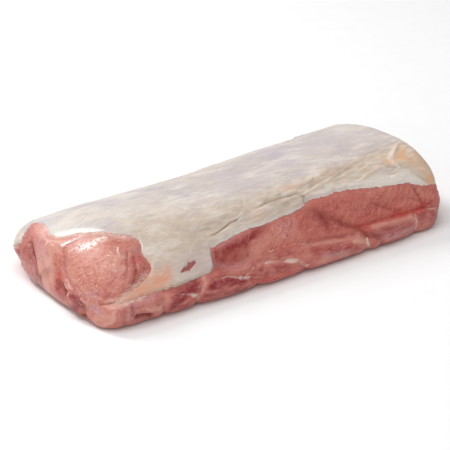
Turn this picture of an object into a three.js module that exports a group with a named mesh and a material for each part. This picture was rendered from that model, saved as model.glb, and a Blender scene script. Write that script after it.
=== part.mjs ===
// Raw boneless pork loin lying on its flat boned side, fat cap up.
// +X runs along the loin from the left cut end (round eye muscle showing) to the right cut end,
// -Y is the trimmed front wall, +Y the fat covered back wall, z = 0 is the face it rests on.
import * as THREE from 'three';
import { mergeVertices } from 'three/addons/utils/BufferGeometryUtils.js';

// ---- driving dimensions, mm ----
const LENGTH = 337;          // along the loin, before the left end leans back
const WIDTH = 160;           // across
const HEIGHT = 57;           // reference height that the section shares are taken of
const ROUND_LEFT = 26;       // how deep the left cut end rounds over
const ROUND_RIGHT = 19;      // how deep the right cut end rounds over
const ROUND_POWER = 2.6;     // superellipse power of both end roundings
const RIM = 0.86;            // share of the section where side faces hand over to end faces
const HUB_Y = 0;             // point the section shrinks about near the ends
const HUB_Z = 0.42 * HEIGHT;
const UNDER_LIFT = 0.35;     // share of the end rounding that the underside takes
const LEAN_FRONT = 30;       // set-back of the top of the left cut at the front
const LEAN_BACK = 5;         // and at the back
const LEAN_FADE = 115;       // length over which that slope fades out
const BOW_RIGHT = 8;         // how far the right cut bows out at mid height
const TUCK_RIGHT = 4;        // and how far its foot is tucked in
const BOW_FADE = 55;         // length over which that fades out
const FAT_GAP = 1.00;        // clearance between the fat cap and the meat
const FAT_LIP = 2.0;         // thickness of the fat at its trimmed edge
const FAT_DEEP = 4.6;        // thickness in the middle of the cap
const FAT_RISE = 26;         // distance from the edge over which it thickens
const FOOTING = 5;           // the bed in the meat reaches this far past the cap
const GUTTER = 6;            // strip of meat in front of the lip that stays down at its foot
const GUTTER_FADE = 12;      // length over which the meat comes back up beyond it
const GIRTH = [15, 42, 24];  // mean length of one place of the section: front wall, top, back wall
const FACE_REACH = 45;       // mean distance from the middle of the left cut to its rim

// Section outline at five stations (share of LENGTH). Each anchor: share of WIDTH from the front,
// share of HEIGHT; from the front foot up the wall, over the top and down to the back foot.
const STATIONS = [
  [0.00, [[0.075, 0], [0.010, 0.170], [0.030, 0.36], [0.115, 0.60], [0.36, 0.880], [0.66, 0.84], [0.870, 0.620], [0.95, 0.320], [0.890, 0]]],
  [0.18, [[0.065, 0], [0.000, 0.190], [0.040, 0.39], [0.165, 0.68], [0.40, 0.950], [0.66, 0.92], [0.875, 0.660], [0.97, 0.330], [0.910, 0]]],
  [0.45, [[0.055, 0], [0.000, 0.210], [0.060, 0.43], [0.175, 0.73], [0.38, 0.960], [0.66, 0.90], [0.870, 0.670], [0.97, 0.345], [0.910, 0]]],
  [0.75, [[0.070, 0], [0.010, 0.220], [0.090, 0.49], [0.180, 0.81], [0.36, 1.010], [0.66, 0.95], [0.900, 0.710], [1.00, 0.375], [0.940, 0]]],
  [1.00, [[0.095, 0], [0.055, 0.225], [0.085, 0.54], [0.150, 0.87], [0.34, 1.070], [0.66, 0.97], [0.920, 0.725], [1.02, 0.390], [0.965, 0]]],
];
const FOOT_ANCHORS = [[WIDTH / 6, 0], [-WIDTH / 6, 0]];

// Edge of the fat cap. Left edge: distance from the left end for a place round the section
// (2 = low on the front wall, 4 = crest, 6 = back shoulder, 8 = back foot).
const FAT_LEFT = [[2.05, 16], [2.3, 25], [2.5, 41], [2.9, 54], [3.4, 57], [3.6, 50], [3.8, 37], [4.1, 26],
  [4.4, 13.5], [4.75, 7], [5.2, 8], [5.7, 14], [6.4, 15], [7.1, 12], [7.6, 15]];
// Front edge: place round the section for a distance from the left end.
const FAT_FRONT = [[16, 2.05], [45, 2.08], [70, 2.0], [98, 1.95], [109, 2.02], [120, 2.5], [143, 2.68], [173, 2.78],
  [196, 2.82], [207, 3.08], [244, 3.1], [266, 2.9], [285, 2.75], [303, 2.5], [329, 2.25]];
const FAT_FRONT_START = 2.05;
const FAT_BACK = 7.6;        // the cap reaches almost down to the back foot
const FAT_RIGHT = 329;       // and ends at the rim of the right cut

// Rounded muscles: centre from the left end, y, z; radii; height of the swelling.
const MUSCLES = [
  { name: 'eye muscle', at: [27, -38, 40], radii: [28, 27, 28], rise: 3.6 },
  { name: 'side muscle', at: [46, -60, 33], radii: [13, 10, 16], rise: 2.0 },
  { name: 'strip muscle', at: [10, 9, 26], radii: [14, 14, 24], rise: 3.5 },
  { name: 'lower lobe', at: [3, -10, 9], radii: [16, 17, 10], rise: 3.0 },
  { name: 'small lobe', at: [6, -41, 9], radii: [14, 11, 10], rise: 1.8 },
  { name: 'front foot lobe', at: [20, -68, 9], radii: [18, 14, 11], rise: 1.8 },
  { name: 'back lobe', at: [7, 34, 18], radii: [14, 14, 18], rise: 1.0 },
  { name: 'right cut eye', at: [332, -22, 32], radii: [16, 30, 24], rise: 3.0 },
  { name: 'right cut chain', at: [332, -60, 40], radii: [12, 14, 18], rise: 2.5 },
];
// Clefts between muscles: path from the left end, y, z; width and depth.
const CLEFTS = [
  { path: [[16, 46, 38], [11, 33, 33], [6, 21, 23], [3, 14, 8]], width: 6, depth: 3.4 },
  { path: [[20, 0, 40], [12, -14, 31], [6, -23, 20], [3, -29, 8]], width: 6, depth: 3.4 },
  { path: [[44, -52, 42], [34, -60, 34], [24, -64, 24], [14, -62, 20], [8, -50, 17]], width: 6, depth: 2.0 },
  { path: [[6, -54, 0], [8, -55, 14]], width: 6, depth: 2.5 },
];
// Pads of the chain muscle along the foot of the front wall, parted by seams.
const CHAIN_SEAMS = [16, 38, 58, 88, 134, 188, 245, 300, 330];
const CHAIN_LEAN = 0.9;      // how far the seams lean along the loin per mm of height
const CHAIN_RISE = 2.2;      // swelling of each pad
const CHAIN_TOP = [17, 25];  // height of the upper seam at the left and at the right end

// ---- shape functions ----
const clamp = (t, a = 0, b = 1) => Math.min(b, Math.max(a, t));
const smooth = (t) => { t = clamp(t); return t * t * (3 - 2 * t); };
const mix = (a, b, t) => a + (b - a) * t;

// Value of a table [[x, y], ...] at x with rounded joins.
function follow(table, x) {
  const n = table.length;
  if (x <= table[0][0]) return table[0][1];
  if (x >= table[n - 1][0]) return table[n - 1][1];
  let i = 0;
  while (x > table[i + 1][0]) i += 1;
  const slope = (j) => {
    const a = table[Math.max(j - 1, 0)], b = table[Math.min(j + 1, n - 1)];
    return (b[1] - a[1]) / (b[0] - a[0]);
  };
  const [x0, y0] = table[i], [x1, y1] = table[i + 1];
  const h = x1 - x0, t = (x - x0) / h;
  const m0 = slope(i) * h, m1 = slope(i + 1) * h;
  return (2 * t ** 3 - 3 * t ** 2 + 1) * y0 + (t ** 3 - 2 * t ** 2 + t) * m0
    + (3 * t ** 2 - 2 * t ** 3) * y1 + (t ** 3 - t ** 2) * m1;
}

function sectionAnchors(s) {
  let i = 0;
  while (i < STATIONS.length - 2 && s > STATIONS[i + 1][0]) i += 1;
  const t = smooth((s - STATIONS[i][0]) / (STATIONS[i + 1][0] - STATIONS[i][0]));
  const near = STATIONS[i][1], far = STATIONS[i + 1][1];
  const ring = near.map((p, j) => [(mix(p[0], far[j][0], t) - 0.5) * WIDTH, mix(p[1], far[j][1], t) * HEIGHT]);
  return ring.concat(FOOT_ANCHORS);
}

// Point of the section at place v round it (0 front foot, 3 shoulder, 6 back shoulder, 8 back foot).
function sectionPoint(s, v) {
  const ring = sectionAnchors(s), n = ring.length;
  const place = ((v % n) + n) % n, i = Math.floor(place), t = place - i;
  const p = [-1, 0, 1, 2].map((j) => ring[(i + j + n) % n]);
  const blend = (c) => 0.5 * (2 * p[1][c] + (p[2][c] - p[0][c]) * t
    + (2 * p[0][c] - 5 * p[1][c] + 4 * p[2][c] - p[3][c]) * t * t
    + (3 * p[1][c] - p[0][c] - 3 * p[2][c] + p[3][c]) * t * t * t);
  return [blend(0), Math.max(blend(1), 0)];
}

const depthOf = (k, r) => r * (1 - (1 - k ** ROUND_POWER) ** (1 / ROUND_POWER));
const shareOf = (d, r) => (1 - clamp(1 - d / r) ** ROUND_POWER) ** (1 / ROUND_POWER);

// Outer form of the loin: x from the left end, place v round the section, share k of the section.
function form(x, v, k) {
  const [y0, z0] = sectionPoint(x / LENGTH, v);
  const dy = y0 - HUB_Y, dz = z0 - HUB_Z;
  const under = 1 - (1 - k) * (UNDER_LIFT + (1 - UNDER_LIFT) * smooth((0.95 - k) / 0.6));
  const y = HUB_Y + dy * k, z = Math.max(HUB_Z + dz * (dz < 0 ? under : k), 0);
  const across = smooth((y / WIDTH + 0.05) / 0.5);
  const lean = mix(LEAN_FRONT, LEAN_BACK, across) * (z / HEIGHT) ** 1.5;
  const bow = BOW_RIGHT * Math.sin(Math.PI * clamp(z / (1.15 * HEIGHT))) - TUCK_RIGHT;
  const shift = lean * (1 - smooth(x / LEAN_FADE)) + bow * smooth((x - LENGTH + BOW_FADE) / BOW_FADE);
  return new THREE.Vector3(x + shift - LENGTH / 2, y, z);
}
const share = (x) => Math.min(shareOf(x, ROUND_LEFT), shareOf(LENGTH - x, ROUND_RIGHT));

function distanceToPath(p, path) {
  let best = Infinity;
  for (let i = 0; i + 1 < path.length; i += 1) {
    const a = new THREE.Vector3(...path[i]), b = new THREE.Vector3(...path[i + 1]);
    const nearest = new THREE.Line3(a, b).closestPointToPoint(p, true, new THREE.Vector3());
    best = Math.min(best, nearest.distanceTo(p));
  }
  return best;
}

// Swellings and clefts of the bare meat at a point of the form.
function muscleRelief(point) {
  const p = point.clone().setX(point.x + LENGTH / 2);
  let rise = 0;
  for (const m of MUSCLES) {
    const q = [p.x, p.y, p.z].reduce((sum, c, i) => sum + ((c - m.at[i]) / m.radii[i]) ** 2, 0);
    rise += m.rise * Math.exp(-q);
  }
  for (const c of CLEFTS) rise -= c.depth * Math.exp(-((distanceToPath(p, c.path) / c.width) ** 2));
  if (p.y < -0.3 * WIDTH) {
    const top = mix(CHAIN_TOP[0], CHAIN_TOP[1], p.x / LENGTH);
    const band = smooth(p.z / 5) * (1 - smooth((p.z - top + 7) / 7));
    const x = p.x - CHAIN_LEAN * (p.z - 10);
    let i = CHAIN_SEAMS.findIndex((s) => s > x);
    if (i > 0) {
      const t = (x - CHAIN_SEAMS[i - 1]) / (CHAIN_SEAMS[i] - CHAIN_SEAMS[i - 1]);
      rise += band * CHAIN_RISE * ((1 - Math.abs(2 * t - 1) ** 3) - 0.55);
    }
    rise -= 1.2 * Math.exp(-(((p.z - top) / 4) ** 2)) * smooth((p.x - 60) / 40);
  }
  return rise;
}

// Flat map of the skin of the loin, mm: run along it (continued over the left cut face) and girth round it.
const runOf = (x) => {
  const first = depthOf(RIM, ROUND_LEFT);
  return x > first ? x : first - (RIM - shareOf(x, ROUND_LEFT)) * FACE_REACH;
};
const girthOf = (v) => GIRTH[0] * Math.min(v, 3) + GIRTH[1] * clamp(v - 3, 0, 3) + GIRTH[2] * Math.max(v - 6, 0);
const FAT_EDGE = [];
for (let v = FAT_FRONT_START; v <= FAT_BACK; v += 0.05) FAT_EDGE.push([runOf(follow(FAT_LEFT, v)), girthOf(v)]);
for (let x = FAT_LEFT[0][1]; x <= LENGTH; x += 2) {
  FAT_EDGE.push([x, girthOf(follow(FAT_FRONT, x))], [x, girthOf(FAT_BACK)]);
}

// Distance inside the edge of the fat cap, mm; negative outside it.
function insideFat(x, v) {
  const run = runOf(x), girth = girthOf(v);
  let best = Infinity;
  for (const [r, g] of FAT_EDGE) best = Math.min(best, (r - run) ** 2 + (g - girth) ** 2);
  const inside = x > follow(FAT_LEFT, v) && v > follow(FAT_FRONT, x) && v < FAT_BACK;
  return (inside ? 1 : -1) * Math.sqrt(best);
}
const fatDepth = (d) => mix(FAT_LIP, FAT_DEEP, smooth(d / FAT_RISE));

// How far the meat lies below the outer form: under the cap and in the gutter before its lip.
function sunk(x, v, k) {
  if (v > 9) return 0;
  const d = insideFat(x, v), rim = x < LENGTH / 2 ? smooth((k - 0.35) / 0.2) : smooth((k - 0.5) / 0.3);
  if (d > -FOOTING) return rim * (fatDepth(d + FOOTING) + FAT_GAP);
  return rim * (FAT_LIP + FAT_GAP) * (1 - smooth((-d - GUTTER) / GUTTER_FADE));
}

// ---- meat: a box grid whose faces are wrapped onto the loin ----
const ALONG = 62, ACROSS = 24, UP = 12;
const CROWD = 0.075;         // grid rows are closer near both ends
const crowd = (t, amount) => t - amount * Math.sin(2 * Math.PI * t);
function meatGeometry() {
  const box = new THREE.BoxGeometry(2, 2, 2, ALONG, ACROSS, UP);
  box.deleteAttribute('normal');
  box.deleteAttribute('uv');
  const g = mergeVertices(box, 1e-4);
  const grid = g.attributes.position.clone();
  const at = g.attributes.position, n = at.count;
  const edge = 1 - 1e-6;
  const places = [];
  for (let i = 0; i < n; i += 1) {
    const a = grid.getX(i), b = grid.getY(i), c = grid.getZ(i);
    const rho = Math.max(Math.abs(b), Math.abs(c));
    const rb = rho > 0 ? b / rho : 0, rc = rho > 0 ? c / rho : 0;
    let v;
    if (rb <= -edge) v = (rc + 1) / 2 * 3;
    else if (rc >= edge) v = 3 + (rb + 1) / 2 * 3;
    else if (rb >= edge) v = 6 + (1 - rc) / 2 * 2;
    else v = 8 + (1 - rb) / 2 * 3;
    const run = crowd((a + 1) / 2, CROWD);
    const first = depthOf(RIM, ROUND_LEFT), last = LENGTH - depthOf(RIM, ROUND_RIGHT);
    let x = mix(first, last, run), k = share(x);
    if (a <= -edge) { k = rho * RIM; x = depthOf(k, ROUND_LEFT); }
    if (a >= edge) { k = rho * RIM; x = LENGTH - depthOf(k, ROUND_RIGHT); }
    places.push([x, v, k]);
    const p = form(x, v, k);
    at.setXYZ(i, p.x, p.y, p.z);
  }
  g.computeVertexNormals();
  const normal = g.attributes.normal;
  for (let i = 0; i < n; i += 1) {
    const [x, v, k] = places[i];
    const p = new THREE.Vector3().fromBufferAttribute(at, i);
    if (grid.getZ(i) <= -edge && k > 0.99) continue;
    const rise = muscleRelief(p), down = sunk(x, v, k);
    const covered = smooth((insideFat(x, v) + 16) / 11);
    const move = (v > 9 ? rise : rise * (1 - covered)) - down;
    const q = p.addScaledVector(new THREE.Vector3().fromBufferAttribute(normal, i), move);
    at.setXYZ(i, q.x, q.y, Math.max(q.z, 0));
  }
  g.deleteAttribute('normal');
  g.computeVertexNormals();
  return g;
}

// ---- fat cap: a thin box grid laid over the meat within the trimmed edge ----
const FAT_ALONG = 44, FAT_ACROSS = 18;
const CORNERS = { near: FAT_LEFT[0][1], nearBack: FAT_LEFT[FAT_LEFT.length - 1][1] };
function fatPlace(u, w) {
  const vLeft = mix(FAT_FRONT_START, FAT_BACK, w);
  const xEven = mix(mix(CORNERS.near, CORNERS.nearBack, w), FAT_RIGHT, u);
  const x = xEven + (1 - u) * (follow(FAT_LEFT, vLeft) - mix(CORNERS.near, CORNERS.nearBack, w));
  const front = follow(FAT_FRONT, mix(CORNERS.near, FAT_RIGHT, u));
  const v = vLeft + (1 - w) ** 3 * (front - FAT_FRONT_START);
  return [x, v];
}
function onForm(x, v) {
  const p = form(x, v, share(x)), e = 0.05;
  const along = form(x + e, v, share(x + e)).sub(form(x - e, v, share(x - e)));
  const round = form(x, v + 0.01, share(x)).sub(form(x, v - 0.01, share(x)));
  return [p, along.cross(round).normalize()];
}
function fatGeometry() {
  const box = new THREE.BoxGeometry(2, 2, 2, FAT_ALONG, FAT_ACROSS, 2);
  box.deleteAttribute('normal');
  box.deleteAttribute('uv');
  const g = mergeVertices(box, 1e-4);
  const at = g.attributes.position;
  for (let i = 0; i < at.count; i += 1) {
    const u = crowd((at.getX(i) + 1) / 2, 0.05), w = (at.getY(i) + 1) / 2, level = at.getZ(i);
    const [x, v] = fatPlace(u, w);
    const [p, out] = onForm(x, v);
    const depth = fatDepth(Math.max(insideFat(x, v), 0));
    p.addScaledVector(out, level > 0.5 ? 0 : level < -0.5 ? -depth : -depth * 0.45);
    at.setXYZ(i, p.x, p.y, Math.max(p.z, 0.5));
  }
  g.computeVertexNormals();
  return g;
}

// ---- nodes ----
const meat = new THREE.Mesh(meatGeometry(), new THREE.MeshStandardMaterial({ color: 0xb4716a, roughness: 0.45 }));
meat.name = 'loin_meat';
meat.material.name = 'raw_pork';
const fat = new THREE.Mesh(fatGeometry(), new THREE.MeshStandardMaterial({ color: 0xdccfc4, roughness: 0.5 }));
fat.name = 'fat_cap';
fat.material.name = 'pork_fat';

const group = new THREE.Group();
group.name = 'pork_loin';
group.add(meat, fat);

// The origin is the middle of the bounding box, at its foot.
const bounds = new THREE.Box3().setFromObject(group, true);
const middle = bounds.getCenter(new THREE.Vector3());
for (const mesh of [meat, fat]) mesh.geometry.translate(-middle.x, -middle.y, -bounds.min.z);
export default group;
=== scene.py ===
# Raw boneless pork loin lying on its flat boned side, fat cap up: a long joint of pink meat
# under a pale cap of fat, seen from its left cut end, where the round eye muscle shows.
import bpy
import numpy as np
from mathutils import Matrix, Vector


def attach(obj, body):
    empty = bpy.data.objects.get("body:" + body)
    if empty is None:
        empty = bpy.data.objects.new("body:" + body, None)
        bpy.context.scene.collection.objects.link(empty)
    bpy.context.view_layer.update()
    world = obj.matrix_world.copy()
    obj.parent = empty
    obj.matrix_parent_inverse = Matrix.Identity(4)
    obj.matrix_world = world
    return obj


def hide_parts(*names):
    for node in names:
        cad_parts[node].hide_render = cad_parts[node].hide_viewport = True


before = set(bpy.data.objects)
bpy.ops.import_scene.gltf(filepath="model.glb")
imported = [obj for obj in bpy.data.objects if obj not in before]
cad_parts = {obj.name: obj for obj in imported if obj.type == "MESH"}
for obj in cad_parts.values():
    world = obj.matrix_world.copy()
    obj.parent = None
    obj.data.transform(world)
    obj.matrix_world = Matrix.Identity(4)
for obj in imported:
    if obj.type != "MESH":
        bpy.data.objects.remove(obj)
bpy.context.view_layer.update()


# ---- Camera ----
# A long lens from the left front, a little above, with the whole joint across the picture.
AZIMUTH, ELEVATION = -34.14, 25.97
DISTANCE = 1.936
FOCAL_PIXELS, PICTURE_PIXELS, SENSOR_MM = 2447.57, 450, 36.0
AIM_RIGHT, AIM_UP = -0.0016, -0.0125
AIM_BASE = Vector((-0.0026, -0.00113, 0.030))

turn, rise = np.radians(AZIMUTH), np.radians(ELEVATION)
towards = Vector((np.sin(turn) * np.cos(rise), -np.cos(turn) * np.cos(rise), np.sin(rise)))
rightward = Vector((np.cos(turn), np.sin(turn), 0))
aim = AIM_BASE + rightward * AIM_RIGHT + towards.cross(rightward) * AIM_UP
camera = bpy.data.objects.new("camera", bpy.data.cameras.new("camera"))
camera.location = aim + towards * DISTANCE
camera.rotation_euler = towards.to_track_quat("Z", "Y").to_euler()
camera.data.sensor_width = SENSOR_MM
camera.data.lens = FOCAL_PIXELS / PICTURE_PIXELS * SENSOR_MM
camera.data.clip_start, camera.data.clip_end = 0.1, 20
bpy.context.scene.collection.objects.link(camera)
bpy.context.scene.camera = camera
bpy.context.scene.view_settings.view_transform = "Standard"


# ---- Floor ----
# A wide sheet of matt white card, which is all that the joint stands on.
def linear(hex_colour):
    """The colour of an sRGB hex value, as Blender's linear red, green, blue and alpha."""
    parts = [int(hex_colour[i:i + 2], 16) / 255 for i in (0, 2, 4)]
    return [c / 12.92 if c <= 0.04045 else ((c + 0.055) / 1.055) ** 2.4 for c in parts] + [1]


def add(tree, kind, inputs=None, **settings):
    """One shader node with its settings; an input is a value or another node's output."""
    made = tree.nodes.new(kind)
    for name, value in settings.items():
        setattr(made, name, value)
    for name, value in (inputs or {}).items():
        if isinstance(value, bpy.types.NodeSocket):
            tree.links.new(value, made.inputs[name])
        else:
            made.inputs[name].default_value = value
    return made


def new_material(name):
    material = bpy.data.materials.new(name)
    material.use_nodes = True
    material.node_tree.nodes.clear()
    return material, material.node_tree


# Matt white card: bright, without any gloss, with a barely uneven tone.
FLOOR_HALF = 4.0
card, tree = new_material("matt_white_card")
where = add(tree, "ShaderNodeTexCoord").outputs["Object"]
grain = add(tree, "ShaderNodeTexNoise", {"Vector": where, "Scale": 60.0}).outputs["Fac"]
tone = add(tree, "ShaderNodeMixRGB", {"Fac": grain, "Color1": linear("f4f4f4"), "Color2": linear("f8f8f8")})
board = add(tree, "ShaderNodeBsdfPrincipled", {"Base Color": tone.outputs["Color"], "Roughness": 0.9})
add(tree, "ShaderNodeOutputMaterial", {"Surface": board.outputs["BSDF"]})
floor_mesh = bpy.data.meshes.new("floor")
reach = FLOOR_HALF
floor_mesh.from_pydata([(-reach, -reach, 0), (reach, -reach, 0), (reach, reach, 0), (-reach, reach, 0)], [],
                       [(0, 1, 2, 3)])
floor = bpy.data.objects.new("floor", floor_mesh)
floor.location.z = -0.0002
floor_mesh.materials.append(card)
bpy.context.scene.collection.objects.link(floor)


# ---- Light ----
# One broad soft lamp overhead, a long one behind that draws the wet glints, and a weak fill in front.
def soft_lamp(name, place, target, width, height, power):
    lamp = bpy.data.objects.new(name, bpy.data.lights.new(name, "AREA"))
    lamp.data.shape, lamp.data.size, lamp.data.size_y = "RECTANGLE", width, height
    lamp.data.energy = power
    lamp.location = place
    lamp.rotation_euler = (Vector(place) - Vector(target)).to_track_quat("Z", "Y").to_euler()
    bpy.context.scene.collection.objects.link(lamp)


soft_lamp("overhead", (-0.35, -0.1, 1.5), (0, 0, 0), 1.5, 1.0, 11)
soft_lamp("behind", (-0.42, 1.2, 1.12), (0, 0, 0.04), 0.30, 0.75, 13)
soft_lamp("left_fill", (-1.4, -1.0, 0.75), (0, 0, 0.03), 1.2, 0.8, 5)
world = bpy.data.worlds.new("studio")
bpy.context.scene.world = world
world.use_nodes = True
world.node_tree.nodes["Background"].inputs["Color"].default_value = linear("ffffff")
world.node_tree.nodes["Background"].inputs["Strength"].default_value = 0.45


# ---- Form of the joint ----
# The whole loin under its skin of fat, which both pieces follow: sections drawn through nine marks,
# with rounded ends. Places on it are x from the left end and v round the section (0 front foot,
# 3 shoulder, 6 back shoulder, 8 back foot). From here on all sizes are millimetres.
LENGTH, WIDTH, HEIGHT = 337.0, 160.0, 57.0
ROUND_LEFT, ROUND_RIGHT, ROUND_POWER = 26.0, 19.0, 2.6
RIM = 0.86
HUB_Z = 0.42 * HEIGHT
UNDER_LIFT = 0.35
LEAN_FRONT, LEAN_BACK, LEAN_FADE = 30.0, 5.0, 115.0
BOW_RIGHT, TUCK_RIGHT, BOW_FADE = 8.0, 4.0, 55.0
STATIONS = {  # share of the way along: marks round the section as shares of width and height
    0.00: [(0.075, 0), (0.010, 0.170), (0.030, 0.36), (0.115, 0.60), (0.36, 0.880),
           (0.66, 0.84), (0.870, 0.620), (0.95, 0.320), (0.890, 0)],
    0.18: [(0.065, 0), (0.000, 0.190), (0.040, 0.39), (0.165, 0.68), (0.40, 0.950),
           (0.66, 0.92), (0.875, 0.660), (0.97, 0.330), (0.910, 0)],
    0.45: [(0.055, 0), (0.000, 0.210), (0.060, 0.43), (0.175, 0.73), (0.38, 0.960),
           (0.66, 0.90), (0.870, 0.670), (0.97, 0.345), (0.910, 0)],
    0.75: [(0.070, 0), (0.010, 0.220), (0.090, 0.49), (0.180, 0.81), (0.36, 1.010),
           (0.66, 0.95), (0.900, 0.710), (1.00, 0.375), (0.940, 0)],
    1.00: [(0.095, 0), (0.055, 0.225), (0.085, 0.54), (0.150, 0.87), (0.34, 1.070),
           (0.66, 0.97), (0.920, 0.725), (1.02, 0.390), (0.965, 0)],
}


def smooth(t):
    t = np.clip(t, 0, 1)
    return t * t * (3 - 2 * t)


def mix(a, b, t):
    return a + (b - a) * t


def section(s, v):
    """Across and up at place v of the section a share s of the way along."""
    place = np.array(list(STATIONS))
    rings = np.array(list(STATIONS.values())) * [WIDTH, HEIGHT] - [WIDTH / 2, 0]
    foot = np.array([[WIDTH / 6, 0], [-WIDTH / 6, 0]])
    rings = np.concatenate([rings, np.repeat(foot[None], len(rings), 0)], 1)
    n = rings.shape[1]
    i = np.clip(np.searchsorted(place, s, side="right") - 1, 0, len(place) - 2)
    t = smooth((s - place[i]) / (place[i + 1] - place[i]))[..., None]
    v = np.mod(v, n)
    j = np.floor(v).astype(int)
    f = (v - j)[..., None]
    before, here, after, beyond = [mix(rings[i, (j + step) % n], rings[i + 1, (j + step) % n], t)
                                   for step in (-1, 0, 1, 2)]
    point = 0.5 * (2 * here + (after - before) * f + (2 * before - 5 * here + 4 * after - beyond) * f ** 2
                   + (3 * here - before - 3 * after + beyond) * f ** 3)
    return point[..., 0], np.maximum(point[..., 1], 0)


def depth_of(k, r):
    """Depth from the end where a rounding of radius r has grown to the share k of the section."""
    return r * (1 - (1 - k ** ROUND_POWER) ** (1 / ROUND_POWER))


def share_of(d, r):
    """The other way about: the share of the section at depth d."""
    return (1 - np.clip(1 - d / r, 0, 1) ** ROUND_POWER) ** (1 / ROUND_POWER)


def share(x):
    return np.minimum(share_of(x, ROUND_LEFT), share_of(LENGTH - x, ROUND_RIGHT))


def form(x, v, k):
    """Point of the joint at x and v; k is the share of the section, below 1 where an end rounds over."""
    y, z = section(x / LENGTH, v)
    dz = z - HUB_Z
    under = 1 - (1 - k) * (UNDER_LIFT + (1 - UNDER_LIFT) * smooth((0.95 - k) / 0.6))
    y, z = y * k, np.maximum(HUB_Z + dz * np.where(dz < 0, under, k), 0)
    lean = mix(LEAN_FRONT, LEAN_BACK, smooth((y / WIDTH + 0.05) / 0.5)) * (z / HEIGHT) ** 1.5
    bow = BOW_RIGHT * np.sin(np.pi * np.clip(z / (1.15 * HEIGHT), 0, 1)) - TUCK_RIGHT
    shift = lean * (1 - smooth(x / LEAN_FADE)) + bow * smooth((x - LENGTH + BOW_FADE) / BOW_FADE)
    return np.stack([x + shift, y, z], -1)


def lump(points, middle, radii):
    """A soft lump, 1 at its middle and fading out over its radii."""
    return np.exp(-(((points - middle) / radii) ** 2).sum(-1))


def corner_swell(points):
    """How far the back corner of the left cut stands out, and is shaved in below, fat and meat together."""
    return 5.0 * lump(points, (6, 50, 22), (12, 15, 9)) - 6.0 * lump(points, (6, 62, 2), (20, 23, 18))


# ---- Edge of the fat ----
# The cap is trimmed back from the left cut and from the front wall; both pieces need its edge,
# because the meat lies lower where the fat covers it.
FAT_LEFT = [  # where it starts above the left cut: place round the section, distance from the left end
    (2.05, 16), (2.3, 25), (2.45, 36), (2.6, 46), (2.8, 52), (3.0, 51), (3.2, 48), (3.45, 50), (3.66, 45),
    (3.8, 35), (4.0, 25), (4.2, 17), (4.4, 10.5), (4.7, 6), (5.0, 5.5), (5.2, 9), (5.4, 13.5), (5.68, 15.5),
    (5.83, 11.5), (5.95, 8.5), (6.2, 5.6), (6.5, 4.4), (6.78, 4.6), (6.95, 9), (7.15, 14), (7.6, 19),
]
FAT_FRONT = [  # where it ends above the front wall: distance from the left end, place round the section
    (16, 2.05), (45, 2.05), (70, 2.0), (98, 2.03), (106, 2.08), (109, 2.24), (111, 2.54),
    (113, 2.74), (118, 2.79), (127, 2.83), (139, 2.89), (153, 2.94), (164, 2.92), (184, 2.96),
    (201, 2.98), (205, 3.03), (209, 3.11), (228, 3.09), (244, 3.07), (258, 2.98), (266, 2.91),
    (285, 2.77), (297, 2.68), (303, 2.6), (312, 2.42), (329, 2.25),
]
FAT_FRONT_START, FAT_BACK, FAT_RIGHT = 2.05, 7.6, 327.0
FAT_DEEP, FAT_RISE = 4.6, 26.0
FACE_REACH = 45.0
GIRTH = (15.0, 42.0, 24.0)  # mm of skin for one place on the front, on top and down the back


def bell(t):
    return np.exp(-t * t)


def follow(marks, x):
    """Height of a rounded line through the marks (x, height)."""
    xs, ys = np.array(marks, float).T
    slope = np.gradient(ys, xs)
    slope[1:-1] = (ys[2:] - ys[:-2]) / (xs[2:] - xs[:-2])
    x = np.clip(x, xs[0], xs[-1])
    i = np.clip(np.searchsorted(xs, x, side="right") - 1, 0, len(xs) - 2)
    h = xs[i + 1] - xs[i]
    t = (x - xs[i]) / h
    return ((2 * t ** 3 - 3 * t ** 2 + 1) * ys[i] + (t ** 3 - 2 * t ** 2 + t) * slope[i] * h
            + (3 * t ** 2 - 2 * t ** 3) * ys[i + 1] + (t ** 3 - t ** 2) * slope[i + 1] * h)


def run_of(x):
    """Length along the skin, carried on over the left cut face."""
    first = depth_of(RIM, ROUND_LEFT)
    return np.where(x > first, x, first - (RIM - share_of(x, ROUND_LEFT)) * FACE_REACH)


def girth_of(v):
    """Length round the skin from the front foot."""
    return GIRTH[0] * np.minimum(v, 3) + GIRTH[1] * np.clip(v - 3, 0, 3) + GIRTH[2] * np.maximum(v - 6, 0)


def noise(points, size, seed):
    """Smooth noise about -1..1 whose lumps are size mm across (one number or one for each axis)."""
    p = np.asarray(points, float) / size + seed * 13.7
    cell = np.floor(p).astype(np.int64)
    f = p - cell
    fade = f * f * f * (f * (f * 6 - 15) + 10)
    total = np.zeros(len(p))
    for corner in np.ndindex(*(2,) * p.shape[1]):
        at = cell + corner
        mixed = np.full(len(p), seed * 7919 + 11, np.int64)
        for axis in range(p.shape[1]):
            mixed = (mixed * 1103515245 + at[:, axis] * 12345677 + 374761393) & 0x7FFFFFFF
            mixed = (mixed ^ (mixed >> 13)) * 1274126177 & 0x7FFFFFFF
        slopes = [((mixed >> (7 * axis)) % 101) / 50.0 - 1 for axis in range(p.shape[1])]
        value = sum(slope * (f[:, axis] - corner[axis]) for axis, slope in enumerate(slopes))
        weight = np.prod([fade[:, axis] if c else 1 - fade[:, axis] for axis, c in enumerate(corner)], 0)
        total += value * weight
    return total * 1.6


def torn(v):
    """How far the left edge wanders from its even line; over the eye it is torn into a fringe."""
    girth = girth_of(v)[:, None]
    over_eye = smooth((girth[:, 0] - 60) / 8) * (1 - smooth((girth[:, 0] - 94) / 12))
    fringe = 2.4 * noise(girth, 3.1, 3) + 1.6 * noise(girth, 1.7, 4)
    return 1.0 * noise(girth, 9, 1) + 0.7 * noise(girth, 4, 2) + over_eye * fringe


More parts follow.
